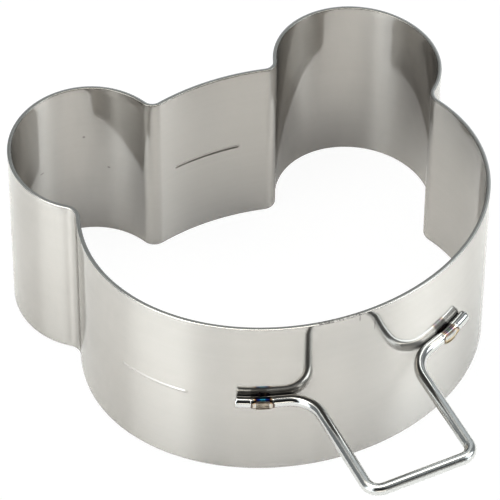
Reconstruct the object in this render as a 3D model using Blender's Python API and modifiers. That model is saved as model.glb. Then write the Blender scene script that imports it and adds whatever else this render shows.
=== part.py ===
"""Pancake ring in the outline of a bear's head, with a wire handle spot-welded to its chin.

Metres, +Z up. The ring stands on its lower edge at z = 0. The chin and the handle point to -Y
and the ears to +Y. The origin is under the middle of the whole object, handle included.
"""

import math

import bmesh
import bpy
from mathutils import Matrix, Vector

MM = 0.001

# The strip that the ring is bent from
STRIP_HEIGHT = 50 * MM
STRIP_GAUGE = 1.0 * MM
EDGE_BREAK = 0.15 * MM

# The outline of its outer side: an oval face and two oval ears, joined by tight bends
FACE_HALF_WIDTH = 52.5 * MM
FACE_HALF_LENGTH = 44.6 * MM
EAR_X = 37.2 * MM
EAR_Y = 35.2 * MM
EAR_HALF_DEPTH = 20.4 * MM
EAR_HALF_SPAN = 22.1 * MM
EAR_TILT = math.radians(28)
CHEEK_BEND_RADIUS = 3.3 * MM
CROWN_BEND_RADIUS = 2.5 * MM

# The beads pressed outwards into the strip at half height, at these angles of the face
BEAD_LENGTH = 19.2 * MM
BEAD_WIDTH = 1.4 * MM
BEAD_RISE = 0.4 * MM
BEAD_ANGLES = {"crown": math.radians(91.5), "left_cheek": math.radians(209.7)}

# The wire handle. It lies in a plane that leans a little towards the left foot.
WIRE_RADIUS = 1.5 * MM
WIRE_END_BREAK = 0.3 * MM
HANDLE_HEIGHT = 27.1 * MM
HANDLE_LEAN = math.radians(2)
HANDLE_REACH = 32.1 * MM
LOOP_HALF_WIDTH_AT_CHIN = 13.7 * MM
LOOP_HALF_WIDTH_AT_BAR = 13.8 * MM
BAR_BEND_RADIUS = 3.4 * MM
FOOT_BEND_RADIUS = 8.5 * MM
FOOT_END_X = {"right": 31.0 * MM, "left": 29.9 * MM}

# The spot welds, and the flats that the electrode leaves on the wire
WELD_FROM_FOOT_END = {"right": 7.2 * MM, "left": 6.6 * MM}
NUGGET_HALF_LENGTH = 2.3 * MM
NUGGET_HALF_HEIGHT = 2.1 * MM
NUGGET_DEPTH = 1.2 * MM
ELECTRODE_RADIUS = 2.4 * MM
ELECTRODE_SINK = 0.35 * MM

# The room left between pieces that touch
SEAT_GAP = 0.3 * MM

# Facets
OVAL_STEP = 2.0 * MM
BEND_STEP = 0.6 * MM
WIRE_STEP = 2.0 * MM
BEAD_STEPS = 16
BEAD_SIDES_SETTING = 4
WIRE_SIDES_SETTING = 6
NUGGET_MERIDIANS = 20
NUGGET_RINGS = 12
ELECTRODE_SIDES = 32
MERGE_DISTANCE = 0.01 * MM
SMOOTH_BELOW = math.radians(35)


class Oval:
    """An ellipse in plan, with points on it or on the curve that runs a distance outside it."""

    def __init__(self, centre, half_x, half_y, tilt=0.0):
        self.centre = Vector(centre)
        self.half_x = half_x
        self.half_y = half_y
        self.turn = Matrix.Rotation(tilt, 2)

    def normal(self, angle):
        across = Vector((self.half_y * math.cos(angle), self.half_x * math.sin(angle)))
        return self.turn @ across.normalized()

    def point(self, angle, outside=0.0):
        on_oval = Vector((self.half_x * math.cos(angle), self.half_y * math.sin(angle)))
        return self.centre + self.turn @ on_oval + self.normal(angle) * outside

    def angle_of(self, point):
        """The angle at which the oval is crossed on the way from its centre to the point."""
        local = self.turn.transposed() @ (point - self.centre)
        return math.atan2(local.y / self.half_y, local.x / self.half_x)

    def angle_after(self, angle, distance, outside=0.0):
        """The angle reached from another by going a distance along the curve."""
        hops = 100
        nudge = 1e-4
        for _ in range(hops):
            hop = (self.point(angle + nudge, outside) - self.point(angle, outside)).length
            angle += distance / hops * nudge / hop
        return angle

    def arc(self, start, end):
        """Points from one angle to the other, both included."""
        length = abs(end - start) * max(self.half_x, self.half_y)
        count = max(2, round(length / OVAL_STEP))
        return [self.point(start + (end - start) * i / count) for i in range(count + 1)]


# Plan geometry


def circle_between(one, other, radius, lowest, highest):
    """The circle that touches both ovals from outside, as the angles where it touches them.

    The contact on the first oval lies between its lowest and highest angle.
    """
    on_one = [lowest + (highest - lowest) * i / 90 for i in range(91)]
    on_other = [math.radians(4 * i) for i in range(90)]
    pairs = [(u, v) for u in on_one for v in on_other]
    u, v = min(pairs, key=lambda pair: (one.point(pair[0], radius) - other.point(pair[1], radius)).length)
    nudge = 1e-5
    for _ in range(10):
        miss = one.point(u, radius) - other.point(v, radius)
        along_one = (one.point(u + nudge, radius) - one.point(u, radius)) / nudge
        along_other = (other.point(v + nudge, radius) - other.point(v, radius)) / nudge
        slopes = Matrix(((along_one.x, -along_other.x), (along_one.y, -along_other.y)))
        change = slopes.inverted() @ miss
        u -= change.x
        v -= change.y
    return u, v


def bend(centre, start, end):
    """Points on the short arc round centre from start to end, both left out."""
    spoke = start - centre
    sweep = (end - centre).angle_signed(spoke)
    count = max(3, round(abs(sweep) * spoke.length / BEND_STEP))
    return [centre + Matrix.Rotation(sweep * i / count, 2) @ spoke for i in range(1, count)]


def half_outline():
    """The outer side of the strip in plan, from the middle of the chin round one ear to the crown."""
    towards_ear = face.angle_of(ear.centre)
    from_chin = towards_ear - math.pi / 2
    cheek_angle, ear_start = circle_between(face, ear, CHEEK_BEND_RADIUS, from_chin, towards_ear)
    crown_angle, ear_end = circle_between(face, ear, CROWN_BEND_RADIUS, towards_ear, math.pi / 2)
    ear_sweep = (ear_end - ear_start) % (2 * math.pi)
    cheek = face.arc(-math.pi / 2, cheek_angle)
    ear_round = ear.arc(ear_start, ear_start + ear_sweep)
    crown = face.arc(crown_angle, math.pi / 2)
    cheek_bend = bend(face.point(cheek_angle, CHEEK_BEND_RADIUS), cheek[-1], ear_round[0])
    crown_bend = bend(face.point(crown_angle, CROWN_BEND_RADIUS), ear_round[-1], crown[0])
    points = cheek + cheek_bend + ear_round + crown_bend + crown
    points[0].x = 0
    points[-1].x = 0
    return points


def foot_line(angle):
    """The middle of the wire where it lies against the face, in plan."""
    return face.point(angle, SEAT_GAP + WIRE_RADIUS)


def foot_bend_centre(angle):
    """The centre of the bend that leaves the foot at that angle of the face."""
    return face.point(angle, SEAT_GAP + WIRE_RADIUS + FOOT_BEND_RADIUS)


def half_of_handle(foot_end):
    """The middle of the wire in plan on the right, from the foot's cut end, an angle, to the bar."""
    arm = (bar_corner - chin_corner).normalized()
    outer_side = Vector((-arm.y, arm.x))
    near = -math.pi / 2
    far = foot_end
    for _ in range(50):
        middle = (near + far) / 2
        if (foot_bend_centre(middle) - chin_corner).dot(outer_side) < FOOT_BEND_RADIUS:
            near = middle
        else:
            far = middle
    foot_length = (foot_line(foot_end) - foot_line(near)).length
    foot_steps = max(4, round(foot_length / WIRE_STEP))
    end_break = face.angle_after(foot_end, -WIRE_END_BREAK, SEAT_GAP + WIRE_RADIUS)
    points = [foot_line(foot_end), foot_line(end_break)]
    points += [foot_line(end_break + (near - end_break) * (i + 1) / foot_steps) for i in range(foot_steps)]
    arm_start = foot_bend_centre(near) - outer_side * FOOT_BEND_RADIUS
    points += bend(foot_bend_centre(near), points[-1], arm_start)
    along_bar = Vector((-1, 0))
    inset = BAR_BEND_RADIUS * math.tan(arm.angle(along_bar) / 2)
    arm_end = bar_corner - arm * inset
    bar_start = bar_corner + along_bar * inset
    corner_bend = bend(arm_end - outer_side * BAR_BEND_RADIUS, arm_end, bar_start)
    return points + [arm_start, arm_end] + corner_bend + [bar_start]


def on_handle_plane(plan):
    return Vector((plan.x, plan.y, HANDLE_HEIGHT + plan.x * math.tan(HANDLE_LEAN)))


# Blender helpers


def steel(name, colour, roughness):
    material = bpy.data.materials.new(name)
    material.use_nodes = True
    shader = material.node_tree.nodes["Principled BSDF"]
    shader.inputs["Base Color"].default_value = (*colour, 1)
    shader.inputs["Metallic"].default_value = 1
    shader.inputs["Roughness"].default_value = roughness
    material.diffuse_color = (*colour, 1)
    return material


def add_part(name, mesh, material):
    """A piece of the ring. Its mesh gets the material and smooth shading."""
    piece = bpy.data.objects.new(name, mesh)
    parts.objects.link(piece)
    piece.parent = under_middle
    mesh.materials.append(material)
    mesh.shade_smooth()
    mesh.set_sharp_from_angle(angle=SMOOTH_BELOW)
    return piece


def add_cutter(name, mesh):
    cutter = bpy.data.objects.new(name, mesh)
    cutters.objects.link(cutter)
    cutter.parent = under_middle
    cutter.hide_render = True
    cutter.display_type = "WIRE"
    return cutter


def boolean(target, tool, operation):
    step = target.modifiers.new(f"{operation.lower()}_{tool.name}", "BOOLEAN")
    step.operation = operation
    step.object = tool


def mesh_of_curve(curve):
    """The closed mesh of a curve with caps."""
    guide = bpy.data.objects.new(curve.name, curve)
    bpy.context.scene.collection.objects.link(guide)
    bpy.context.view_layer.update()
    evaluated = guide.evaluated_get(bpy.context.evaluated_depsgraph_get())
    mesh = bpy.data.meshes.new_from_object(evaluated)
    bpy.data.objects.remove(guide)
    body = bmesh.new()
    body.from_mesh(mesh)
    bmesh.ops.remove_doubles(body, verts=body.verts, dist=MERGE_DISTANCE)
    bmesh.ops.recalc_face_normals(body, faces=body.faces)
    body.to_mesh(mesh)
    body.free()
    return mesh


def tube(name, points, radius, shares, sides_setting):
    """A solid round bar along points, as thick at each point as its share of the radius says."""
    curve = bpy.data.curves.new(name, "CURVE")
    curve.dimensions = "3D"
    curve.bevel_depth = radius
    curve.bevel_resolution = sides_setting
    curve.use_fill_caps = True
    spline = curve.splines.new("POLY")
    spline.points.add(len(points) - 1)
    for spot, point, share in zip(spline.points, points, shares):
        spot.co = (*point, 1)
        spot.radius = share
    return mesh_of_curve(curve)


def prism(name, outline, height):
    """A solid with a closed outline in plan, from z = 0 up."""
    curve = bpy.data.curves.new(name, "CURVE")
    curve.dimensions = "2D"
    curve.fill_mode = "BOTH"
    curve.extrude = height / 2
    spline = curve.splines.new("POLY")
    spline.points.add(len(outline) - 1)
    spline.use_cyclic_u = True
    for spot, point in zip(spline.points, outline):
        spot.co = (*point, 0, 1)
    mesh = mesh_of_curve(curve)
    mesh.transform(Matrix.Translation((0, 0, height / 2)))
    return mesh


# Ring


def strip_mesh():
    """The outer side of half the strip, as an open wall."""
    outline = half_outline()
    body = bmesh.new()
    low = [body.verts.new((point.x, point.y, 0)) for point in outline]
    high = [body.verts.new((point.x, point.y, STRIP_HEIGHT)) for point in outline]
    for i in range(len(outline) - 1):
        body.faces.new((low[i], low[i + 1], high[i + 1], high[i]))
    mesh = bpy.data.meshes.new("ring_band")
    body.to_mesh(mesh)
    body.free()
    return mesh


def bead_mesh(name, angle, below_outer_side):
    """The round tool that presses a bead. Its crest stands out of a side that lies that far in."""
    tool_radius = (BEAD_WIDTH**2 / 4 + BEAD_RISE**2) / (2 * BEAD_RISE)
    points = []
    shares = []
    for i in range(BEAD_STEPS + 1):
        along = -BEAD_LENGTH / 2 * math.cos(math.pi * i / BEAD_STEPS)
        plan = face.point(face.angle_after(angle, along), BEAD_RISE - tool_radius - below_outer_side)
        points.append((*plan, STRIP_HEIGHT / 2))
        from_round = max(0.0, 1 - (BEAD_LENGTH / 2 - abs(along)) / tool_radius)
        shares.append(math.sqrt(1.04 - from_round**2))
    return tube(name, points, tool_radius, shares, BEAD_SIDES_SETTING)


def make_ring():
    ring = add_part("ring_band", strip_mesh(), steel("bright_strip", (0.62, 0.61, 0.59), 0.22))
    other_half = ring.modifiers.new("other_half", "MIRROR")
    other_half.merge_threshold = MERGE_DISTANCE
    gauge = ring.modifiers.new("gauge", "SOLIDIFY")
    gauge.thickness = STRIP_GAUGE
    gauge.offset = -1
    gauge.use_even_offset = True
    edges = ring.modifiers.new("deburred_edges", "BEVEL")
    edges.width = EDGE_BREAK
    edges.segments = 2
    edges.limit_method = "ANGLE"
    edges.angle_limit = math.radians(60)
    for place, angle in BEAD_ANGLES.items():
        ridge = add_cutter(f"{place}_ridge", bead_mesh(f"{place}_ridge", angle, 0))
        groove = add_cutter(f"{place}_groove", bead_mesh(f"{place}_groove", angle, STRIP_GAUGE))
        boolean(ring, ridge, "UNION")
        boolean(ring, groove, "DIFFERENCE")


# Handle and its welds


def make_handle():
    right = [on_handle_plane(point) for point in half_of_handle(foot_ends["right"])]
    left = [on_handle_plane(Vector((-point.x, point.y))) for point in half_of_handle(foot_ends["left"])]
    points = right + left[::-1]
    end_share = 1 - WIRE_END_BREAK / WIRE_RADIUS
    shares = [end_share] + [1] * (len(points) - 2) + [end_share]
    mesh = tube("handle_wire", points, WIRE_RADIUS, shares, WIRE_SIDES_SETTING)
    return add_part("handle_wire", mesh, steel("bright_wire", (0.66, 0.65, 0.63), 0.1))


def weld_frame(angle):
    """The place of a weld on the outer side of the wall: X along it, Y straight out of it."""
    place = on_handle_plane(face.point(angle))
    out = face.normal(angle)
    turn = Matrix.Rotation(math.atan2(-out.x, out.y), 4, "Z")
    return Matrix.Translation(place) @ turn


def lens_mesh(name, frame, growth):
    """The rounded lump of a weld nugget, grown by a clearance for the pocket that it sits in."""
    halves = (NUGGET_HALF_LENGTH + growth, NUGGET_DEPTH + growth, NUGGET_HALF_HEIGHT + growth)
    body = bmesh.new()
    bmesh.ops.create_uvsphere(body, u_segments=NUGGET_MERIDIANS, v_segments=NUGGET_RINGS, radius=1)
    bmesh.ops.transform(body, matrix=frame @ Matrix.Diagonal((*halves, 1)), verts=body.verts)
    mesh = bpy.data.meshes.new(name)
    body.to_mesh(mesh)
    body.free()
    return mesh


def electrode_mesh(name, frame):
    """The round electrode tip, set into the side of the wire that faces away from the wall."""
    length = 2 * WIRE_RADIUS
    face_at = SEAT_GAP + 2 * WIRE_RADIUS - ELECTRODE_SINK
    lay = Matrix.Translation((0, face_at + length / 2, 0)) @ Matrix.Rotation(math.pi / 2, 4, "X")
    body = bmesh.new()
    bmesh.ops.create_cone(
        body,
        cap_ends=True,
        segments=ELECTRODE_SIDES,
        radius1=ELECTRODE_RADIUS,
        radius2=ELECTRODE_RADIUS,
        depth=length,
        matrix=frame @ lay,
    )
    mesh = bpy.data.meshes.new(name)
    body.to_mesh(mesh)
    body.free()
    return mesh


def make_weld(side, angle, handle, wall_room):
    """A nugget seated in a pocket of the wire, and the electrode's flat on the wire's far side."""
    frame = weld_frame(angle)
    name = f"weld_{side}"
    nugget = add_part(name, lens_mesh(name, frame, 0), steel(name, (0.42, 0.36, 0.3), 0.3))
    pocket = add_cutter(f"{side}_pocket", lens_mesh(f"{side}_pocket", frame, SEAT_GAP))
    electrode = add_cutter(f"{side}_electrode", electrode_mesh(f"{side}_electrode", frame))
    boolean(nugget, wall_room, "DIFFERENCE")
    boolean(handle, pocket, "DIFFERENCE")
    boolean(handle, electrode, "DIFFERENCE")


for old in list(bpy.data.objects):
    bpy.data.objects.remove(old)
parts = bpy.data.collections.new("pancake_ring")
cutters = bpy.data.collections.new("cutters")
bpy.context.scene.collection.children.link(parts)
bpy.context.scene.collection.children.link(cutters)

face = Oval((0, 0), FACE_HALF_WIDTH, FACE_HALF_LENGTH)
ear = Oval((EAR_X, EAR_Y), EAR_HALF_DEPTH, EAR_HALF_SPAN, EAR_TILT)
chin_corner = Vector((LOOP_HALF_WIDTH_AT_CHIN, foot_line(-math.pi / 2).y))
bar_corner = Vector((LOOP_HALF_WIDTH_AT_BAR, chin_corner.y - HANDLE_REACH))
foot_ends = {side: -math.acos(reach / FACE_HALF_WIDTH) for side, reach in FOOT_END_X.items()}

# The middle of the object's length, between the bar of the handle and the tips of the ears
front = bar_corner.y - WIRE_RADIUS
back = max(point.y for point in half_outline())
under_middle = bpy.data.objects.new("under_middle", None)
under_middle.location = (0, -(front + back) / 2, 0)
parts.objects.link(under_middle)

make_ring()
handle_wire = make_handle()
room_outline = [face.point(math.radians(2 * i), SEAT_GAP) for i in range(180)]
wall_room = add_cutter("wall_room", prism("wall_room", room_outline, STRIP_HEIGHT))
for side, foot_end in foot_ends.items():
    weld = face.angle_after(foot_end, -WELD_FROM_FOOT_END[side], SEAT_GAP + WIRE_RADIUS)
    make_weld(side, weld if side == "right" else math.pi - weld, handle_wire, wall_room)
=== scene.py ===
"""Looks of the bear-head pancake ring: a bright rolled strip, a drawn wire handle and its two spot welds.

Metres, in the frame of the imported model: +Z up, the chin and the handle towards -Y, the ears towards +Y.
"""

import math
import bmesh
import bpy
import numpy as np
from mathutils import Matrix, Vector, noise


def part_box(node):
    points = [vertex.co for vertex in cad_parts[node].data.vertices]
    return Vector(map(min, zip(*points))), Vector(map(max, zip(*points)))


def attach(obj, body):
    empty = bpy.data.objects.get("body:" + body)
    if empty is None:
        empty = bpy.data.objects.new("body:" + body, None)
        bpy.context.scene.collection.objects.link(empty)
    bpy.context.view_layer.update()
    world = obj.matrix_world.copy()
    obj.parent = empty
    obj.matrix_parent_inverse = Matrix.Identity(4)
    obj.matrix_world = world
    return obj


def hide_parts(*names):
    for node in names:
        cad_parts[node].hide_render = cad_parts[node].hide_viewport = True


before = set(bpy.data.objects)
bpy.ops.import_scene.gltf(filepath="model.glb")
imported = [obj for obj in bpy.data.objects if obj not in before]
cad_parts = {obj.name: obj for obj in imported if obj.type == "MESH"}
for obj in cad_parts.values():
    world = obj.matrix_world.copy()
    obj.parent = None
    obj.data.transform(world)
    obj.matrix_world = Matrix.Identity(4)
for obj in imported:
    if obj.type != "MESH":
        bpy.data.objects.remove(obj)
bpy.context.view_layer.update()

MM = 0.001

# The strip
STRIP_GAUGE = 1.0 * MM
EDGE_ROUNDING = 0.15 * MM
RIM_CROWN = 0.03 * MM
FACE_HALF_WIDTH = 52.5 * MM
FACE_HALF_LENGTH = 44.6 * MM
EAR_X = 37.2 * MM
EAR_Y = 35.2 * MM
EAR_HALF_DEPTH = 20.4 * MM
EAR_HALF_SPAN = 22.1 * MM
EAR_TILT = math.radians(28)
CHEEK_BEND_RADIUS = 3.3 * MM
CROWN_BEND_RADIUS = 2.5 * MM

# The beads pressed outwards into it
BEAD_LENGTH = 19.2 * MM
BEAD_WIDTH = 1.4 * MM
BEADS = {"crown": (math.radians(91.5), 0.2 * MM), "left_cheek": (math.radians(209.7), 0.24 * MM)}

# How far the wall lies inside its nominal line, and how that varies where the rolls held the strip
WALL_INSET = 0.015 * MM
ROLL_WAVE = 0.012 * MM
ROLL_WAVES = ((5, 0.4, 0.5), (11, 2.1, 0.22), (17, 4.0, 0.16), (29, 1.2, 0.08), (43, 5.1, 0.04))

# The wire
WIRE_RADIUS = 1.5 * MM
WIRE_END_BREAK = 0.25 * MM
HANDLE_HEIGHT = 27.1 * MM
HANDLE_LEAN = math.radians(2)
HANDLE_REACH = 32.37 * MM
LOOP_HALF_WIDTH_AT_CHIN = 13.7 * MM
LOOP_HALF_WIDTH_AT_BAR = 13.8 * MM
BAR_BEND_RADIUS = 3.4 * MM
FOOT_BEND_RADIUS = 8.5 * MM
FOOT_END_X = {"right": 31.0 * MM, "left": 29.9 * MM}
SEAT_GAP = 0.02 * MM

# The spot welds: the electrode's print on the wire, and the metal squeezed out behind it
WELD_FROM_FOOT_END = {"right": 7.2 * MM, "left": 6.6 * MM}
ELECTRODE_RADIUS = 2.75 * MM
ELECTRODE_SINK = 0.4 * MM
PRESSED_OUTSIDE = (-0.2 * WIRE_RADIUS, 0.8 * WIRE_RADIUS)
NUB_HALF_LENGTH = 1.75 * MM
NUB_TOP_SHARE = 0.55
NUB_SPREAD = 0.22
NUB_RISE = 0.12 * MM
LIP_HALF_WIDTH = 0.22 * MM
BULGE = {"left": 0.2 * MM, "right": 0.55 * MM}
BULGE_HALF_LENGTH = 2.9 * MM
BULGE_WAY = (0.85, -0.53)
BULGED_BEYOND = (0.55, 0.95)
LUMP_HALF_LENGTH = 2.2 * MM
LUMP_HALF_DEPTH = 0.75 * MM
LUMP_HALF_HEIGHT = 1.6 * MM

# The lumps on the squeezed-out metal, as shares of its size: how close, and how high
COARSE_LUMPS = (1.6, 0.22)
FINE_LUMPS = (4.3, 0.1)
COARSE_LUMPS_MOVED = {"left": (12.4, 0, 0), "right": (15.5, 0, 0)}

# Marks on the strip, in millimetres: where, and how far they reach along X, Y and Z
SPECKS = (
    ((-30.4, 66.7, 33.0), (0.45, 0.6, 0.45)),
    ((-24.9, 63.8, 22.5), (0.45, 0.6, 0.35)),
    ((-42.4, 66.3, 25.0), (0.9, 0.6, 0.25)),
    ((-0.9, -33.0, 48.8), (0.25, 0.6, 1.4)),
    ((3.2, -33.0, 44.8), (0.2, 0.6, 2.4)),
)

# The stretch of the chin's rim that is ground rough, and the worn end of the handle, in millimetres
GROUND_FROM_X = -12.6
GROUND_TO_X = 0.4
GROUND_BELOW_Y = -30.5
GROUND_FADE = 1.0
WORN_FROM_Y = -46.0
WORN_FULLY_AT_Y = -58.0

# Heat tints along the wire on both sides of a weld: how far they reach in millimetres, and the colour at
# each share of that reach
TINT_REACH = {"left": 2.55, "right": 2.4}
HEAT_TINTS = {
    "left": (
        (0.0, (0.09, 0.33, 0.42)),
        (0.22, (0.07, 0.3, 0.42)),
        (0.36, (0.02, 0.08, 0.3)),
        (0.55, (0.03, 0.05, 0.2)),
        (0.66, (0.12, 0.04, 0.07)),
        (0.76, (0.4, 0.28, 0.17)),
        (0.9, (0.62, 0.54, 0.4)),
    ),
    "right": (
        (0.0, (0.16, 0.2, 0.15)),
        (0.22, (0.13, 0.15, 0.16)),
        (0.36, (0.2, 0.12, 0.2)),
        (0.55, (0.3, 0.18, 0.18)),
        (0.66, (0.42, 0.3, 0.22)),
        (0.76, (0.6, 0.5, 0.38)),
        (0.9, (0.7, 0.66, 0.58)),
    ),
}

# How strongly each weld shows its tints, its print and the edge of its bulge
TINT_SHOWN = {"left": 1.0, "right": 0.75}
PRINT_SHOWN = {"left": 1.0, "right": 0.2}
EDGE_SHOWN = {"left": 0.0, "right": 1.0}

# The dark scale behind each weld: its middle along the wire in millimetres, and its colour
SCALE_AT = {"left": 0.9, "right": 0.0}
SCALE_COLOUR = {"left": (0.2, 0.195, 0.18, 1), "right": (0.1, 0.095, 0.085, 1)}

# Mesh steps, and how far the close ones reach to both sides of what they are for
COLUMN_STEP = 0.9 * MM
BEND_COLUMN_STEP = 0.3 * MM
BEND_REACH = 4 * MM
BEAD_COLUMN_STEP = 0.25 * MM
BEAD_REACH = 0.6 * BEAD_LENGTH
ROW_STEP = 2.2 * MM
BEAD_ROW_STEP = 0.11 * MM
EDGE_STEPS = 5
RIM_POINTS = 8
# How many rows of faces on each rim take the outer part's finish, painted lighter as a highlight
HIGHLIGHTED_RIM_FACES = 7
WIRE_STEP = 0.6 * MM
WELD_WIRE_STEP = 0.14 * MM
WELD_REACH = 4 * MM
WIRE_SIDES = 64
LUMP_SUBDIVISIONS = 5
SHARP_ABOVE = math.radians(40)

# How closely the lines in plan are worked out
OVAL_POINTS = 1200
BEND_POINTS = 60
FOOT_POINTS = 400
DENSITY_POINTS = 40001
SAME_POINT = 1e-9
SEARCH_POINTS = 91
SEARCH_NUDGE = 1e-5
SEARCH_STEPS = 10
HALVINGS = 50
WIRE_HALF_STEP = 0.05 * MM
WELD_HALF_STEP = 0.5 * MM

band_low, band_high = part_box("ring_band")
STRIP_HEIGHT = band_high.z
FACE_CENTRE_Y = band_low.y + FACE_HALF_LENGTH


# Plan geometry


def rotated(vectors, angle):
    cos, sin = math.cos(angle), math.sin(angle)
    return vectors @ np.array(((cos, sin), (-sin, cos)))


def unit(vectors):
    return vectors / np.linalg.norm(vectors, axis=-1, keepdims=True)


class Oval:
    """An ellipse in plan. Angles are its own parameter, and outside is a distance beyond it."""

    def __init__(self, centre, half_x, half_y, tilt=0.0):
        self.centre = np.array(centre)
        self.half_x = half_x
        self.half_y = half_y
        self.tilt = tilt

    def normal(self, angle):
        across = np.stack((self.half_y * np.cos(angle), self.half_x * np.sin(angle)), axis=-1)
        return rotated(unit(across), self.tilt)

    def point(self, angle, outside=0.0):
        on_oval = np.stack((self.half_x * np.cos(angle), self.half_y * np.sin(angle)), axis=-1)
        return self.centre + rotated(on_oval, self.tilt) + self.normal(angle) * outside

    def angle_of(self, point):
        local = rotated(point - self.centre, -self.tilt)
        return math.atan2(local[1] / self.half_y, local[0] / self.half_x)


face = Oval((0, FACE_CENTRE_Y), FACE_HALF_WIDTH, FACE_HALF_LENGTH)
ear = Oval((EAR_X, FACE_CENTRE_Y + EAR_Y), EAR_HALF_DEPTH, EAR_HALF_SPAN, EAR_TILT)


def circle_between(one, other, radius, lowest, highest):
    """The circle that touches both ovals from outside, as the angles where it touches them."""
    every_turn = np.linspace(0, 2 * math.pi, SEARCH_POINTS)
    on_one, on_other = np.meshgrid(np.linspace(lowest, highest, SEARCH_POINTS), every_turn)
    misses = np.linalg.norm(one.point(on_one, radius) - other.point(on_other, radius), axis=-1)
    best = np.unravel_index(np.argmin(misses), misses.shape)
    angles = np.array((on_one[best], on_other[best]))
    for _ in range(SEARCH_STEPS):
        from_one = one.point(angles[0], radius)
        from_other = other.point(angles[1], radius)
        along_one = (one.point(angles[0] + SEARCH_NUDGE, radius) - from_one) / SEARCH_NUDGE
        along_other = (other.point(angles[1] + SEARCH_NUDGE, radius) - from_other) / SEARCH_NUDGE
        slopes = np.stack((along_one, -along_other), axis=1)
        angles = angles - np.linalg.solve(slopes, from_one - from_other)
    return angles


def on_bend(centre, start, end):
    """Points and outward normals on the short arc round a centre that lies outside the strip."""
    spoke = start - centre
    to_end = end - centre
    sweep = math.atan2(spoke[0] * to_end[1] - spoke[1] * to_end[0], spoke @ to_end)
    spokes = np.array([rotated(spoke, sweep * share) for share in np.linspace(0, 1, BEND_POINTS)])
    return centre + spokes, -unit(spokes)


def on_oval(oval, start, end):
    angles = np.linspace(start, end, OVAL_POINTS)
    return oval.point(angles), oval.normal(angles)


class Line:
    """A line in space or in plan that is read by the distance along it."""

    def __init__(self, points):
        steps = np.linalg.norm(np.diff(points, axis=0), axis=1)
        keep = np.concatenate(([True], steps > SAME_POINT))
        self.points = points[keep]
        self.kept = keep
        kept_steps = np.linalg.norm(np.diff(self.points, axis=0), axis=1)
        self.distance = np.concatenate(([0], np.cumsum(kept_steps)))
        self.length = self.distance[-1]

    def read(self, values, places):
        return np.stack([np.interp(places, self.distance, column) for column in values.T], axis=-1)

    def way(self, places, half_step):
        """Which way the line runs at those places, over a short step."""
        return self.read(self.points, places + half_step) - self.read(self.points, places - half_step)

    def nearest(self, point):
        return self.distance[np.argmin(np.linalg.norm(self.points - point, axis=1))]


def strip_outline():
    """The outer side of the strip in plan, once round from the middle of the chin, with its normals."""
    towards_ear = face.angle_of(ear.centre)
    from_chin = towards_ear - math.pi / 2
    cheek_angle, ear_start = circle_between(face, ear, CHEEK_BEND_RADIUS, from_chin, towards_ear)
    crown_angle, ear_end = circle_between(face, ear, CROWN_BEND_RADIUS, towards_ear, math.pi / 2)
    ear_sweep = (ear_end - ear_start) % (2 * math.pi)
    cheek = on_oval(face, -math.pi / 2, cheek_angle)
    ear_round = on_oval(ear, ear_start, ear_start + ear_sweep)
    crown = on_oval(face, crown_angle, math.pi / 2)
    cheek_bend = on_bend(face.point(cheek_angle, CHEEK_BEND_RADIUS), cheek[0][-1], ear_round[0][0])
    crown_bend = on_bend(face.point(crown_angle, CROWN_BEND_RADIUS), ear_round[0][-1], crown[0][0])
    runs = (cheek, cheek_bend, ear_round, crown_bend, crown)
    points = np.concatenate([run[0] for run in runs])
    normals = np.concatenate([run[1] for run in runs])
    mirror = np.array((-1, 1))
    line = Line(np.concatenate((points, points[::-1] * mirror)))
    normals = np.concatenate((normals, normals[::-1] * mirror))[line.kept]
    bends = [line.nearest(run[0][len(run[0]) // 2]) for run in (cheek_bend, crown_bend)]
    return line, normals, bends


def spread(length, coarse, zones):
    """Places from 0 to length, coarse apart, and closer within each zone of (start, end, step)."""
    fine = np.linspace(0, length, DENSITY_POINTS)
    density = np.full_like(fine, 1 / coarse)
    for start, end, step in zones:
        inside = (fine > start) & (fine < end)
        density[inside] = np.maximum(density[inside], 1 / step)
    grown = np.concatenate(([0], np.cumsum((density[1:] + density[:-1]) / 2 * np.diff(fine))))
    return np.interp(np.linspace(0, grown[-1], math.ceil(grown[-1]) + 1), grown, fine)


# Meshes


def grid_mesh(name, points, closed_columns):
    """A skin over sections that close on themselves: points[column, row]. An open run gets flat caps."""
    columns, rows = points.shape[:2]
    last = columns if closed_columns else columns - 1
    column, row = np.meshgrid(np.arange(last), np.arange(rows), indexing="ij")
    after_column = (column + 1) % columns
    after_row = (row + 1) % rows
    corners = (
        column * rows + row,
        after_column * rows + row,
        after_column * rows + after_row,
        column * rows + after_row,
    )
    corner_list = np.stack(corners, axis=-1).reshape(-1)
    starts = np.arange(0, len(corner_list), 4)
    if not closed_columns:
        first_cap = np.arange(rows)
        last_cap = (columns - 1) * rows + np.arange(rows)[::-1]
        starts = np.append(starts, (len(corner_list), len(corner_list) + rows))
        corner_list = np.concatenate((corner_list, first_cap, last_cap))
    mesh = bpy.data.meshes.new(name)
    mesh.vertices.add(columns * rows)
    mesh.vertices.foreach_set("co", points.reshape(-1).astype(np.float32))
    mesh.loops.add(len(corner_list))
    mesh.loops.foreach_set("vertex_index", corner_list.astype(np.int32))
    mesh.polygons.add(len(starts))
    mesh.polygons.foreach_set("loop_start", starts.astype(np.int32))
    mesh.update(calc_edges=True)
    mesh.validate()
    return mesh


def add_piece(name, mesh, node, slot, *materials):
    piece = bpy.data.objects.new(name, mesh)
    bpy.context.scene.collection.objects.link(piece)
    for material in materials:
        mesh.materials.append(material)
    mesh.shade_smooth()
    mesh.set_sharp_from_angle(angle=SHARP_ABOVE)
    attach(piece, "root")
    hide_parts(node)


# Strip


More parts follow.
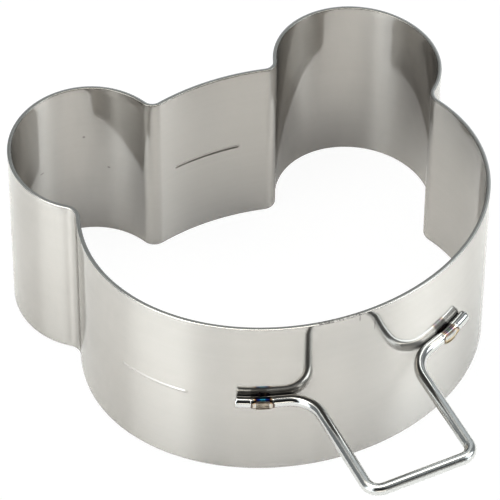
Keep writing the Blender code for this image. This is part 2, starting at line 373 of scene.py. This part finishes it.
def bead_lift(along, height, outline):
    """How far the beads push the wall outwards there."""
    lift = np.zeros(np.broadcast(along, height).shape)
    for angle, rise in BEADS.values():
        middle = outline.nearest(face.point(angle))
        past_end = np.maximum(np.abs(along - middle) - (BEAD_LENGTH - BEAD_WIDTH) / 2, 0)
        away = np.hypot(past_end, height - STRIP_HEIGHT / 2) / (BEAD_WIDTH / 2)
        lift += rise * (1 + np.cos(math.pi * np.minimum(away, 1))) / 2
    return lift


def roll_wave(along, length):
    """The slight waves that the bending rolls leave across the strip. It repeats once round."""
    turns = 2 * math.pi * along / length
    wave = np.zeros_like(along)
    for waves_round, start, share in ROLL_WAVES:
        wave += share * np.sin(waves_round * turns + start)
    return wave


def strip_section():
    """The strip's cross-section as distances inwards and heights, once round from its outer foot."""
    edge = EDGE_ROUNDING
    below = RIM_CROWN + edge
    middle = STRIP_HEIGHT / 2 - below
    bead_zone = (middle - BEAD_WIDTH, middle + BEAD_WIDTH, BEAD_ROW_STEP)
    side = spread(STRIP_HEIGHT - 2 * below, ROW_STEP, [bead_zone]) + below
    quarter = np.linspace(0, math.pi / 2, EDGE_STEPS + 1)[1:-1]
    flat = np.linspace(edge, STRIP_GAUGE - edge, RIM_POINTS)
    crown = RIM_CROWN * (1 - np.linspace(-1, 1, len(flat)) ** 2)
    shoulder = STRIP_HEIGHT - RIM_CROWN
    inward = np.concatenate((
        np.zeros(len(side)),
        edge * (1 - np.cos(quarter)),
        flat,
        STRIP_GAUGE - edge * (1 - np.sin(quarter)),
        np.full(len(side), STRIP_GAUGE),
        STRIP_GAUGE - edge * (1 - np.cos(quarter)),
        flat[::-1],
        edge * (1 - np.sin(quarter)),
    ))
    height = np.concatenate((
        side,
        shoulder - edge * (1 - np.sin(quarter)),
        shoulder + crown,
        shoulder - edge * (1 - np.cos(quarter)),
        side[::-1],
        RIM_CROWN + edge * (1 - np.sin(quarter)),
        RIM_CROWN - crown,
        RIM_CROWN + edge * (1 - np.cos(quarter)),
    ))
    return inward, height, len(side)


def strip_faces(rows, side_rows):
    """The finish of each row of faces: 0 on the walls, 1 on a rim's outer part, painted lighter as a
    highlight, 2 on its inner part, painted darker as shade.
    """
    row = np.arange(rows)
    past_top = row - (side_rows - 1)
    before_foot = rows - 1 - row
    finish = np.where((past_top < HIGHLIGHTED_RIM_FACES) | (before_foot < HIGHLIGHTED_RIM_FACES), 1, 2)
    on_wall = (past_top < 0) | ((row >= rows // 2) & (row < rows // 2 + side_rows - 1))
    return np.where(on_wall, 0, finish)


def make_strip(*finishes):
    outline, normals, bends = strip_outline()
    length = outline.length
    zones = []
    for bend in bends:
        for at in (bend, length - bend):
            zones.append((at - BEND_REACH, at + BEND_REACH, BEND_COLUMN_STEP))
    for angle, _ in BEADS.values():
        middle = outline.nearest(face.point(angle))
        zones.append((middle - BEAD_REACH, middle + BEAD_REACH, BEAD_COLUMN_STEP))
    along = spread(length, COLUMN_STEP, zones)[:-1]
    plan = outline.read(outline.points, along)
    out = unit(outline.read(normals, along))
    inward, height, side_rows = strip_section()
    wave = ROLL_WAVE * (1 - roll_wave(along, length)) + WALL_INSET
    lift = bead_lift(along[:, None], height[None, :], outline)
    offset = lift - inward[None, :] - wave[:, None]
    flat_points = plan[:, None, :] + out[:, None, :] * offset[:, :, None]
    heights = np.broadcast_to(height[None, :, None], offset.shape + (1,))
    points = np.concatenate((flat_points, heights), axis=-1)
    mesh = grid_mesh("steel_strip", points, True)
    add_piece("steel_strip", mesh, "ring_band", "stainless_strip", *finishes)
    row_finish = strip_faces(len(inward), side_rows)
    mesh.polygons.foreach_set("material_index", np.tile(row_finish, len(along)).astype(np.int32))


# Handle


def foot_line(angle):
    return face.point(angle, SEAT_GAP + WIRE_RADIUS)


def foot_bend_centre(angle):
    return face.point(angle, SEAT_GAP + WIRE_RADIUS + FOOT_BEND_RADIUS)


def on_handle_plane(plan):
    height = HANDLE_HEIGHT + plan[:, :1] * math.tan(HANDLE_LEAN)
    return np.concatenate((plan, height), axis=1)


def arc(centre, start, end):
    return on_bend(centre, start, end)[0]


def half_of_handle(foot_end_x):
    """The middle of the wire in plan on the right, from the foot's cut end to the bar."""
    foot_end = -math.acos(foot_end_x / FACE_HALF_WIDTH)
    chin_corner = np.array((LOOP_HALF_WIDTH_AT_CHIN, foot_line(-math.pi / 2)[1]))
    bar_corner = np.array((LOOP_HALF_WIDTH_AT_BAR, chin_corner[1] - HANDLE_REACH))
    arm = unit(bar_corner - chin_corner)
    outer_side = np.array((-arm[1], arm[0]))
    near = -math.pi / 2
    far = foot_end
    for _ in range(HALVINGS):
        middle = (near + far) / 2
        if (foot_bend_centre(middle) - chin_corner) @ outer_side < FOOT_BEND_RADIUS:
            near = middle
        else:
            far = middle
    foot = foot_line(np.linspace(foot_end, near, FOOT_POINTS))
    arm_start = foot_bend_centre(near) - outer_side * FOOT_BEND_RADIUS
    along_bar = np.array((-1.0, 0.0))
    inset = BAR_BEND_RADIUS * math.tan(math.acos(arm @ along_bar) / 2)
    arm_end = bar_corner - arm * inset
    bar_start = bar_corner + along_bar * inset
    foot_bend = arc(foot_bend_centre(near), foot[-1], arm_start)
    bar_bend = arc(arm_end - outer_side * BAR_BEND_RADIUS, arm_end, bar_start)
    return np.concatenate((foot, foot_bend, bar_bend))


def handle_line():
    """The middle of the wire from the cut end of the right foot round to that of the left one."""
    left = half_of_handle(FOOT_END_X["left"])[::-1] * np.array((-1, 1))
    return Line(on_handle_plane(np.concatenate((half_of_handle(FOOT_END_X["right"]), left))))


class WeldPlace:
    """Where a spot weld sits: the middle of the wire there, and which way lie along, out and up."""

    def __init__(self, line, side, at):
        self.side = side
        self.at = at
        self.middle = line.read(line.points, at)
        self.along = unit(line.way(at, WELD_HALF_STEP) * np.array((1, 1, 0)))
        away = self.middle[:2] - face.centre
        across = np.array((-self.along[1], self.along[0], 0.0))
        self.out = across * math.copysign(1, across[:2] @ away)
        self.up = np.array((0.0, 0.0, 1.0))

    def measure(self, points):
        """How far points lie along, out and up from the middle of the wire."""
        away = points - self.middle
        return away @ self.along, away @ self.out, away @ self.up

    def points(self, along, out, up):
        parts = (along[..., None] * self.along, out[..., None] * self.out, up[..., None] * self.up)
        return self.middle + sum(parts)


def ease(values, low, high):
    """0 at low and 1 at high, with a smooth run between them."""
    share = np.clip((values - low) / (high - low), 0, 1)
    return share * share * (3 - 2 * share)


def pressed_by_electrode(points, place):
    """The wire with its outward side pressed flat and spread by the electrode."""
    along, out, up = place.measure(points)
    near = (np.abs(along) < 2 * ELECTRODE_RADIUS) & (np.abs(out) < 2 * WIRE_RADIUS)
    squeeze = ease(np.abs(along), ELECTRODE_RADIUS, NUB_HALF_LENGTH) * near
    outward = ease(out, *PRESSED_OUTSIDE)
    flat_at = WIRE_RADIUS - ELECTRODE_SINK * squeeze
    spread_up = up * (1 + NUB_SPREAD * squeeze * outward * (up < 0))
    pad = NUB_RISE * ease(np.hypot(along, up), NUB_HALF_LENGTH, NUB_TOP_SHARE * NUB_HALF_LENGTH)
    from_lip = (np.abs(along) - ELECTRODE_RADIUS) / LIP_HALF_WIDTH
    lip = NUB_RISE * np.exp(-(from_lip**2)) * outward
    pressed = np.minimum(out, flat_at + pad * squeeze) + lip * near
    lower = (out * BULGE_WAY[0] + up * BULGE_WAY[1]) / WIRE_RADIUS
    bulge = BULGE[place.side] * np.clip(1 - (along / BULGE_HALF_LENGTH) ** 2, 0, 1)
    bulge *= ease(lower, *BULGED_BEYOND)
    pressed += bulge * BULGE_WAY[0]
    spread_up += bulge * BULGE_WAY[1]
    moved = place.points(along, np.where(near, pressed, out), np.where(near, spread_up, up))
    return np.where(near[..., None], moved, points)


def make_handle(line, weld_places, finish):
    zones = [(place.at - WELD_REACH, place.at + WELD_REACH, WELD_WIRE_STEP) for place in weld_places]
    along = spread(line.length, WIRE_STEP, zones)
    ends = np.array((0, WIRE_END_BREAK * 0.3, WIRE_END_BREAK))
    along = along[np.minimum(along, line.length - along) > 2 * WIRE_END_BREAK]
    along = np.concatenate((ends, along, line.length - ends[::-1]))
    from_end = np.minimum(along, line.length - along)
    break_share = np.clip(1 - from_end / WIRE_END_BREAK, 0, 1)
    radius = WIRE_RADIUS - WIRE_END_BREAK * (1 - np.sqrt(1 - break_share**2))
    middle = line.read(line.points, along)
    up = unit(np.array((-math.tan(HANDLE_LEAN), 0, 1)))
    side = unit(np.cross(unit(line.way(along, WIRE_HALF_STEP)), up))
    turn = np.linspace(0, 2 * math.pi, WIRE_SIDES, endpoint=False)[:, None]
    around = side[:, None, :] * np.cos(turn) + up * np.sin(turn)
    points = middle[:, None, :] + around * radius[:, None, None]
    for place in weld_places:
        points = pressed_by_electrode(points, place)
    mesh = grid_mesh("wire_handle", points, False)
    add_piece("wire_handle", mesh, "handle_wire", "stainless_wire", finish)


def make_weld(side, place, finish):
    """The metal squeezed out between the wire and the wall, as one lumpy bead with rounded ends."""
    ball = bmesh.new()
    bmesh.ops.create_icosphere(ball, subdivisions=LUMP_SUBDIVISIONS, radius=1)
    moved = Vector(COARSE_LUMPS_MOVED[side])
    for vertex in ball.verts:
        ray = vertex.co.copy()
        coarse = noise.noise(ray * COARSE_LUMPS[0] + moved) * COARSE_LUMPS[1]
        fine = noise.noise(ray * FINE_LUMPS[0]) * FINE_LUMPS[1]
        vertex.co = ray * (1 + (coarse + fine))
    directions = np.array([vertex.co for vertex in ball.verts])
    along = directions[:, 0] * LUMP_HALF_LENGTH
    out = directions[:, 1] * LUMP_HALF_DEPTH - WIRE_RADIUS - SEAT_GAP / 2
    up = directions[:, 2] * LUMP_HALF_HEIGHT
    for vertex, point in zip(ball.verts, place.points(along, out, up)):
        vertex.co = point
    mesh = bpy.data.meshes.new(f"squeezed_metal_{side}")
    ball.to_mesh(mesh)
    ball.free()
    add_piece(f"squeezed_metal_{side}", mesh, f"weld_{side}", "weld_metal", finish)


# Shader maths


class Value:
    """What a node gives out. Arithmetic on it adds Math nodes, and so does arithmetic with plain numbers."""

    def __init__(self, finish, socket):
        self.finish = finish
        self.socket = socket

    def __add__(self, other):
        return self.finish.maths("ADD", self, other)

    def __radd__(self, other):
        return self.finish.maths("ADD", other, self)

    def __sub__(self, other):
        return self.finish.maths("SUBTRACT", self, other)

    def __rsub__(self, other):
        return self.finish.maths("SUBTRACT", other, self)

    def __mul__(self, other):
        return self.finish.maths("MULTIPLY", self, other)

    def __rmul__(self, other):
        return self.finish.maths("MULTIPLY", other, self)

    def __truediv__(self, other):
        return self.finish.maths("DIVIDE", self, other)

    def __pow__(self, other):
        return self.finish.maths("POWER", self, other)

    def __abs__(self):
        return self.finish.maths("ABSOLUTE", self)


class Finish:
    """A material or world in the making. Places are in millimetres, as grain is a matter of millimetres."""

    def __init__(self, owner):
        self.owner = owner
        owner.use_nodes = True
        self.tree = owner.node_tree
        self.tree.nodes.clear()

    def node(self, kind, settings, inputs, output=0):
        """A new node of that type. Its settings come first, then the values or links of its sockets."""
        made = self.tree.nodes.new(kind)
        for name, value in settings.items():
            if name == "stops":
                self.set_stops(made.color_ramp, value)
            else:
                setattr(made, name, value)
        for socket, value in inputs.items():
            if isinstance(value, Value):
                self.tree.links.new(value.socket, made.inputs[socket])
            else:
                made.inputs[socket].default_value = value
        return Value(self, made.outputs[output])

    def set_stops(self, ramp, stops):
        while len(ramp.elements) < len(stops):
            ramp.elements.new(1)
        for element, (place, colour) in zip(ramp.elements, stops):
            element.position = place
            element.color = (*colour, 1)

    def place(self):
        """Where a point of the surface is, in millimetres."""
        metres = self.node("ShaderNodeTexCoord", {}, {}, "Object")
        return self.vector("SCALE", metres, Scale=1 / MM)

    def maths(self, operation, *numbers):
        return self.node("ShaderNodeMath", {"operation": operation}, dict(enumerate(numbers)))

    def vector(self, operation, *vectors, output=0, **more):
        inputs = dict(enumerate(vectors)) | more
        return self.node("ShaderNodeVectorMath", {"operation": operation}, inputs, output)

    def noise(self, place, scales, detail=2.0, harshness=0.5, moved=(0, 0, 0)):
        """Noise from 0 to 1, stretched by its scales: features per millimetre along X, Y and Z."""
        moved_place = self.vector("MULTIPLY_ADD", place, scales, moved)
        inputs = {"Vector": moved_place, "Scale": 1.0, "Detail": detail, "Roughness": harshness}
        return self.node("ShaderNodeTexNoise", {}, inputs)

    def between(self, value, low, high):
        """A smooth run from 0, at low, to 1, at high."""
        inputs = {"Value": value, "From Min": low, "From Max": high}
        return self.node("ShaderNodeMapRange", {"interpolation_type": "SMOOTHSTEP"}, inputs)

    def bump_at(self, value, middle, half_width):
        """1 at the middle, falling smoothly to 0 a half width away from it."""
        return self.between(abs(value - middle), half_width, 0.0)

    def colour_mix(self, share, one, other):
        return self.node("ShaderNodeMix", {"data_type": "RGBA"}, {0: share, 6: one, 7: other}, 2)

    def ramp(self, value, *stops):
        return self.node("ShaderNodeValToRGB", {"stops": stops}, {0: value})

    def bump(self, height, strength, depth):
        inputs = {"Height": height, "Strength": strength, "Distance": depth * MM}
        return self.node("ShaderNodeBump", {}, inputs)

    def near(self, place, spot, reaches):
        """1 at a spot, falling smoothly to 0 at its reaches along X, Y and Z, all in millimetres."""
        away = self.vector("DIVIDE", self.vector("SUBTRACT", place, spot), reaches)
        return self.between(self.vector("LENGTH", away, output=1), 1.0, 0.5)

    def parts(self, vector):
        return [self.node("ShaderNodeSeparateXYZ", {}, {0: vector}, axis) for axis in "XYZ"]

    def measured_from(self, place, weld):
        """Millimetres along, out and up from the middle of the wire at a weld."""
        away = self.vector("SUBTRACT", place, tuple(weld.middle / MM))
        ways = (weld.along, weld.out, weld.up)
        return [self.vector("DOT_PRODUCT", away, tuple(way), output=1) for way in ways]

    def metal(self, colour, roughness, **more):
        inputs = {"Base Color": colour, "Roughness": roughness, "Metallic": 1.0}
        return self.node("ShaderNodeBsdfPrincipled", {}, inputs | more)

    def show(self, shader, kind="ShaderNodeOutputMaterial"):
        self.tree.links.new(shader.socket, self.tree.nodes.new(kind).inputs["Surface"])
        return self.owner


def new_finish(name):
    return Finish(bpy.data.materials.new(name))


# Finishes

STEEL = (0.705, 0.689, 0.667, 1)
STEEL_SHADED = (0.691, 0.675, 0.652, 1)
MIRROR_ROUGHNESS = 0.07
HAZE_ROUGHNESS = 0.4
HAZE_SHARE = 0.31
DRAWN_OUT_UPWARDS = {"Anisotropy": -0.8, "Rotation": 0.25}
SPECK_COLOUR = (0.2, 0.19, 0.18, 1)
SPECK_SHOWN = 0.4

# The two parts of the rim: the outer one painted lighter as a highlight where its rounding catches the
# light, the inner one painted darker as shade under its burr. For each, the darker and the lighter colour of
# its metal, and its roughness
RIM_PARTS = {
    # Painted highlight: the rim's outer part, lighter where its rounding catches the light
    "rim_outer_painted_highlight": ((0.6, 0.595, 0.585, 1), (0.67, 0.663, 0.652, 1), 0.18),
    # Painted shade: the rim's inner part, darker under its burr
    "rim_inner_painted_shade": ((0.41, 0.403, 0.39, 1), (0.47, 0.462, 0.447, 1), 0.2),
}
GROUND_COLOUR = (0.3, 0.29, 0.29, 1)
GROUND_ROUGHNESS = 0.2

WIRE_DARKER = (0.63, 0.628, 0.62, 1)
WIRE_LIGHTER = (0.69, 0.688, 0.68, 1)
WIRE_ROUGHNESS = 0.12
WORN_ROUGHNESS = 0.08
PRINT_ROUGHNESS = 0.35


def rolled_wall():
    """Bright rolled sheet: a mirror under a haze that the fine grain along the strip draws out upwards."""
    finish = new_finish("rolled_wall")
    place = finish.place()
    streaks = finish.noise(place, (0.012, 0.012, 0.8), detail=4.0)
    patches = finish.noise(place, (0.05, 0.05, 0.04), moved=(7, 3, 1))
    shade = finish.between(streaks * 0.4 + patches * 0.6, 0.3, 0.7)
    colour = finish.colour_mix(shade, STEEL_SHADED, STEEL)
    marks = 0.0
    for spot, reaches in SPECKS:
        marks = marks + finish.near(place, spot, reaches)
    colour = finish.colour_mix(marks * SPECK_SHOWN, colour, SPECK_COLOUR)
    mirror = finish.metal(colour, MIRROR_ROUGHNESS + 0.02 * patches)
    dull = {"Color": colour, "Roughness": HAZE_ROUGHNESS} | DRAWN_OUT_UPWARDS
    haze = finish.node("ShaderNodeBsdfAnisotropic", {}, dull)
    both = finish.node("ShaderNodeMixShader", {}, {0: HAZE_SHARE, 1: mirror, 2: haze})
    return finish.show(both)


def sheared_edge(name, darker, lighter, own_roughness):
    """A part of the rim in the colours it is given, ground rough along a stretch of the chin. Those colours
    paint a highlight on the rim's outer part and shade on its inner part.
    """
    finish = new_finish(name)
    place = finish.place()
    x, y, _ = finish.parts(place)
    filing = finish.noise(place, (0.25, 0.25, 0.25))
    scratches = finish.noise(place, (1.6, 0.7, 0.7), detail=3.0, harshness=0.7)
    ragged = finish.noise(place, (0.5, 0.5, 0.5), moved=(3, 0, 0)) * 3.0 - 1.5
    along = x + ragged
    ground = finish.between(y, GROUND_BELOW_Y + GROUND_FADE, GROUND_BELOW_Y)
    ground = ground * finish.between(along, GROUND_FROM_X, GROUND_FROM_X + GROUND_FADE)
    ground = ground * finish.between(along, GROUND_TO_X, GROUND_TO_X - GROUND_FADE)
    colour = finish.colour_mix(filing, darker, lighter)
    colour = finish.colour_mix(ground * finish.between(scratches, 0.42, 0.62), colour, GROUND_COLOUR)
    roughness = own_roughness + 0.06 * filing + GROUND_ROUGHNESS * ground
    return finish.show(finish.metal(colour, roughness, Normal=finish.bump(scratches * ground, 0.5, 0.06)))


class WeldFinish:
    """What one spot weld does to the wire's finish, in millimetres from the middle of the wire.

    A pair of numbers is a soft edge: where it begins, and where what it bounds is full.
    """

    ENDS = (6.0, 5.0)
    SIDES = (5.0, 4.5)
    TINTED_ABOVE = (0.35, 0.75)
    TINTED_OUTSIDE = (-0.45, -0.1)
    TINT_FADE = (1.0, 0.8)
    SCALE_ENDS = (2.1, 1.8)
    SCALE_BEHIND = (0.1, -0.4)
    RING_OUTSIDE = (0.4, 0.7)
    RING_AT = 2.7
    RING_HALF_WIDTH = 0.38
    RING_FLATTENED = 2.45
    RING_COLOUR = (0.17, 0.115, 0.085, 1)
    STRAW_AT = 2.2
    STRAW_HALF_WIDTH = 0.45
    STRAW_COLOUR = (0.6, 0.5, 0.38, 1)
    EDGE_FADE = 0.3
    EDGE_STRAW = (0.7, 0.4)
    EDGE_STRAW_COLOUR = (0.62, 0.52, 0.37, 1)
    EDGE_LINE = (0.3, 0.15)
    EDGE_LINE_COLOUR = (0.24, 0.2, 0.12, 1)
    PRINT_ENDS = (1.75, 1.5)
    PRINT_OUTSIDE = (0.8, 1.0)
    PRINT_COLOURS = ((0.22, 0.2, 0.175, 1), (0.55, 0.5, 0.44, 1))
    PRINT_RIM = (1.5, 2.2)
    PRINT_RIM_COLOUR = (0.1, 0.08, 0.06, 1)

    def __init__(self, finish, place, weld):
        self.finish = finish
        self.side = weld.side
        self.along, self.out, self.up = finish.measured_from(place, weld)
        near = finish.between(abs(self.along), *self.ENDS)
        self.near = near * finish.between(abs(self.out) + abs(self.up), *self.SIDES)
        self.wobble = finish.noise(place, (0.9, 0.9, 0.9), moved=(weld.at / MM, 0, 0)) - 0.5
        self.wrinkles = finish.noise(place, (0.8, 0.8, 2.6), detail=3.0, harshness=0.65)
        boxed = abs(self.along) ** 4 + abs(self.up * self.RING_FLATTENED) ** 4
        self.from_middle = boxed**0.25 + self.wobble * 0.35
        pressed = finish.between(abs(self.along) + self.wobble * 0.3, *self.PRINT_ENDS)
        pressed = pressed * finish.between(self.out, *self.PRINT_OUTSIDE)
        self.print = pressed * self.near * PRINT_SHOWN[self.side]

    def tinted(self, colour):
        """Straw, blue and cyan on the wire's upper side, and dark scale on the side towards the wall."""
        heat = (abs(self.along) + self.wobble * 0.6) / TINT_REACH[self.side]
        tint = self.finish.ramp(heat, *HEAT_TINTS[self.side])
        upper = self.finish.between(self.up, *self.TINTED_ABOVE)
        upper = upper * self.finish.between(self.out, *self.TINTED_OUTSIDE)
        shown = upper * self.finish.between(heat, *self.TINT_FADE) * self.near
        colour = self.finish.colour_mix(shown * TINT_SHOWN[self.side], colour, tint)
        from_scale = abs(self.along - SCALE_AT[self.side]) + self.wobble * 0.4
        scaled = self.finish.between(from_scale, *self.SCALE_ENDS)
        scaled = scaled * self.finish.between(self.out, *self.SCALE_BEHIND) * self.near
        return self.finish.colour_mix(scaled * 0.85, colour, SCALE_COLOUR[self.side])

    def ringed(self, colour):
        """A brown ring round the electrode's print, straw inside it."""
        facing = self.finish.between(self.out, *self.RING_OUTSIDE) * self.near
        straw = self.finish.bump_at(self.from_middle, self.STRAW_AT, self.STRAW_HALF_WIDTH) * facing
        colour = self.finish.colour_mix(straw * 0.5, colour, self.STRAW_COLOUR)
        ring = self.finish.bump_at(self.from_middle, self.RING_AT, self.RING_HALF_WIDTH) * facing
        return self.finish.colour_mix(ring * 0.9, colour, self.RING_COLOUR)

    def edged(self, colour):
        """The lower edge of the bulge: straw, with an olive line along its outside."""
        half_length = BULGE_HALF_LENGTH / MM
        span = self.finish.between(abs(self.along), half_length, half_length - self.EDGE_FADE)
        shown = span * self.near * EDGE_SHOWN[self.side]
        bulged = 1 - (self.along * (1 / half_length)) ** 2
        reach = WIRE_RADIUS / MM + BULGE[self.side] / MM * bulged
        from_edge = reach - (self.out * BULGE_WAY[0] + self.up * BULGE_WAY[1])
        straw = self.finish.between(from_edge, *self.EDGE_STRAW) * shown
        colour = self.finish.colour_mix(straw * 0.7, colour, self.EDGE_STRAW_COLOUR)
        line = self.finish.between(from_edge, *self.EDGE_LINE) * shown
        return self.finish.colour_mix(line * 0.9, colour, self.EDGE_LINE_COLOUR)

    def printed(self, colour):
        """The print itself: dull grey-brown, wrinkled along the wire, darker towards its rim."""
        light = self.finish.between(self.wrinkles, 0.3, 0.7)
        dull = self.finish.colour_mix(light, *self.PRINT_COLOURS)
        rim = self.finish.between(self.from_middle, *self.PRINT_RIM)
        dull = self.finish.colour_mix(rim * 0.5, dull, self.PRINT_RIM_COLOUR)
        return self.finish.colour_mix(self.print, colour, dull)


def drawn_wire(weld_places):
    """Polished wire, a little duller where it is held. Each weld leaves tints and a ring round its print."""
    finish = new_finish("drawn_wire")
    place = finish.place()
    patches = finish.noise(place, (0.4, 0.4, 0.4), detail=3.0)
    colour = finish.colour_mix(patches, WIRE_DARKER, WIRE_LIGHTER)
    worn = finish.between(finish.parts(place)[1], WORN_FROM_Y, WORN_FULLY_AT_Y)
    roughness = WIRE_ROUGHNESS + 0.05 * patches + WORN_ROUGHNESS * worn
    relief = 0.0
    for weld in weld_places:
        marks = WeldFinish(finish, place, weld)
        colour = marks.edged(marks.printed(marks.ringed(marks.tinted(colour))))
        roughness = roughness + marks.print * PRINT_ROUGHNESS
        relief = relief + marks.print * marks.wrinkles
    return finish.show(finish.metal(colour, roughness, Normal=finish.bump(relief, 0.6, 0.12)))


def weld_metal(side):
    """Squeezed-out metal, scaled purple-black by the heat."""
    finish = new_finish(f"squeezed_metal_{side}")
    place = finish.place()
    scale = finish.noise(place, (1.1, 1.1, 1.1), detail=4.0)
    colour = finish.ramp(
        scale,
        (0.3, (0.015, 0.013, 0.02)),
        (0.5, (0.035, 0.025, 0.03)),
        (0.62, (0.09, 0.06, 0.045)),
        (0.75, (0.2, 0.16, 0.12)),
    )
    return finish.show(finish.metal(colour, 0.2 + 0.2 * scale, Normal=finish.bump(scale, 0.4, 0.1)))


# Stage and camera

CAMERA_PLACE = (-0.30755, -0.62023, 0.75402)
CAMERA_AZIMUTH = math.radians(-25.28)
CAMERA_ELEVATION = math.radians(45.86)
CAMERA_ROLL = math.radians(-0.46)
CAMERA_LENS_MM = 290.57


def make_camera():
    camera = bpy.data.objects.new("camera", bpy.data.cameras.new("camera"))
    bpy.context.scene.collection.objects.link(camera)
    camera.data.lens = CAMERA_LENS_MM
    camera.data.sensor_width = 36
    camera.data.clip_start = 0.05
    camera.data.clip_end = 50
    forward = Vector((
        -math.sin(CAMERA_AZIMUTH) * math.cos(CAMERA_ELEVATION),
        math.cos(CAMERA_AZIMUTH) * math.cos(CAMERA_ELEVATION),
        -math.sin(CAMERA_ELEVATION),
    ))
    right = Vector((math.cos(CAMERA_AZIMUTH), math.sin(CAMERA_AZIMUTH), 0))
    down = forward.cross(right)
    turned_right = math.cos(CAMERA_ROLL) * right + math.sin(CAMERA_ROLL) * down
    turned_down = math.cos(CAMERA_ROLL) * down - math.sin(CAMERA_ROLL) * right
    turn = Matrix((turned_right, -turned_down, -forward)).transposed()
    camera.matrix_world = Matrix.Translation(CAMERA_PLACE) @ turn.to_4x4()
    bpy.context.scene.camera = camera


# The soft boxes round the object: the tone of the light, where the middle is, how far it reaches to both
# sides and up and down, and how bright it is. Where and how far are degrees of azimuth and elevation.
# The dark card round the camera takes light away.
SOFT_BOXES = {
    "overhead": ("warm", 95.7, 75.2, 121, 17, 2.77),
    "overhead_front": ("warm", 147.5, 56, 57, 7.3, 0.78),
    "left_bank": ("cool", 195, 28, 23, 41, 1.46),
    "right_bank": ("cool", 330, 40, 23, 23.4, 2.57),
    "front_fill": ("warm", 258, 15.5, 33.5, 14, 1.41),
    "left_sweep": ("cool", 216, 5, 15.7, 9.8, 0.97),
    "right_sweep": ("cool", 311.6, 3.8, 13.3, 5.2, 2.75),
    "back_strip": ("cool", 50, 35.6, 32, 26.7, 0.42),
    "dark_card": ("cool", 251, 38, 52, 32, -0.45),
}
FULL_WITHIN = 0.6
LIGHT_COLOURS = {"warm": (1.015, 0.98, 0.91, 1), "cool": (0.955, 1.0, 1.02, 1)}

# The room between the boxes, the final tones, and the floor, of whose shade the camera sees very little
ROOM_GLOW = 0.51
TONE_CONTRAST = 1.74
FLOOR_PAINT = 0.8
FLOOR_GLOW = 0.4
FLOOR_HALF = 3.0
FLOOR_BELOW = 0.02 * MM
SHADE_SEEN = 0.06


def for_the_camera(finish, shader, seen):
    """The stage looks plain white to the camera, while the metal mirrors the lit studio."""
    direct = finish.node("ShaderNodeLightPath", {}, {}, "Is Camera Ray")
    white = finish.node("ShaderNodeEmission", {}, {"Color": (1, 1, 1, 1), "Strength": 1.0})
    return finish.node("ShaderNodeMixShader", {}, {0: direct * (1 - seen), 1: shader, 2: white})


def make_floor():
    corners = [(x * FLOOR_HALF, y * FLOOR_HALF, 0) for x, y in ((-1, -1), (1, -1), (1, 1), (-1, 1))]
    mesh = bpy.data.meshes.new("floor")
    mesh.from_pydata(corners, [], [(0, 1, 2, 3)])
    floor = bpy.data.objects.new("floor", mesh)
    bpy.context.scene.collection.objects.link(floor)
    floor.location.z = -FLOOR_BELOW
    finish = new_finish("pale_floor")
    paint = finish.node("ShaderNodeBsdfDiffuse", {}, {"Color": (FLOOR_PAINT, FLOOR_PAINT, FLOOR_PAINT, 1)})
    glow = finish.node("ShaderNodeEmission", {}, {"Color": (1, 1, 1, 1), "Strength": FLOOR_GLOW})
    lit = finish.node("ShaderNodeAddShader", {}, {0: paint, 1: glow})
    mesh.materials.append(finish.show(for_the_camera(finish, lit, SHADE_SEEN)))


def make_studio():
    world = bpy.data.worlds.new("studio")
    bpy.context.scene.world = world
    finish = Finish(world)
    direction = finish.node("ShaderNodeTexCoord", {}, {}, "Generated")
    x, y, z = finish.parts(direction)
    azimuth = finish.maths("ARCTAN2", y, x) * math.degrees(1)
    elevation = finish.maths("ARCSINE", z) * math.degrees(1)
    light = {"warm": 0.0, "cool": ROOM_GLOW}
    for tone, middle, height, reach, reach_up, brightness in SOFT_BOXES.values():
        turned = finish.maths("WRAP", azimuth - middle, 180, -180)
        across = finish.between(abs(turned), reach, FULL_WITHIN * reach)
        upwards = finish.between(abs(elevation - height), reach_up, FULL_WITHIN * reach_up)
        light[tone] = light[tone] + across * upwards * brightness
    warm, cool = (
        finish.node("ShaderNodeBackground", {}, {"Color": LIGHT_COLOURS[tone], "Strength": strength})
        for tone, strength in light.items()
    )
    both = finish.node("ShaderNodeAddShader", {}, {0: warm, 1: cool})
    finish.show(for_the_camera(finish, both, 0.0), "ShaderNodeOutputWorld")
    bpy.context.scene.view_settings.view_transform = "Standard"
    bpy.context.scene.view_settings.gamma = 1 / TONE_CONTRAST


# The rim's outer part gets a painted highlight and its inner part painted shade
rim_finishes = [sheared_edge(name, *look) for name, look in RIM_PARTS.items()]
make_strip(rolled_wall(), *rim_finishes)
handle = handle_line()
weld_places = {
    "right": WeldPlace(handle, "right", WELD_FROM_FOOT_END["right"]),
    "left": WeldPlace(handle, "left", handle.length - WELD_FROM_FOOT_END["left"]),
}
make_handle(handle, weld_places.values(), drawn_wire(weld_places.values()))
for side, place in weld_places.items():
    make_weld(side, place, weld_metal(side))
make_camera()
make_floor()
make_studio()
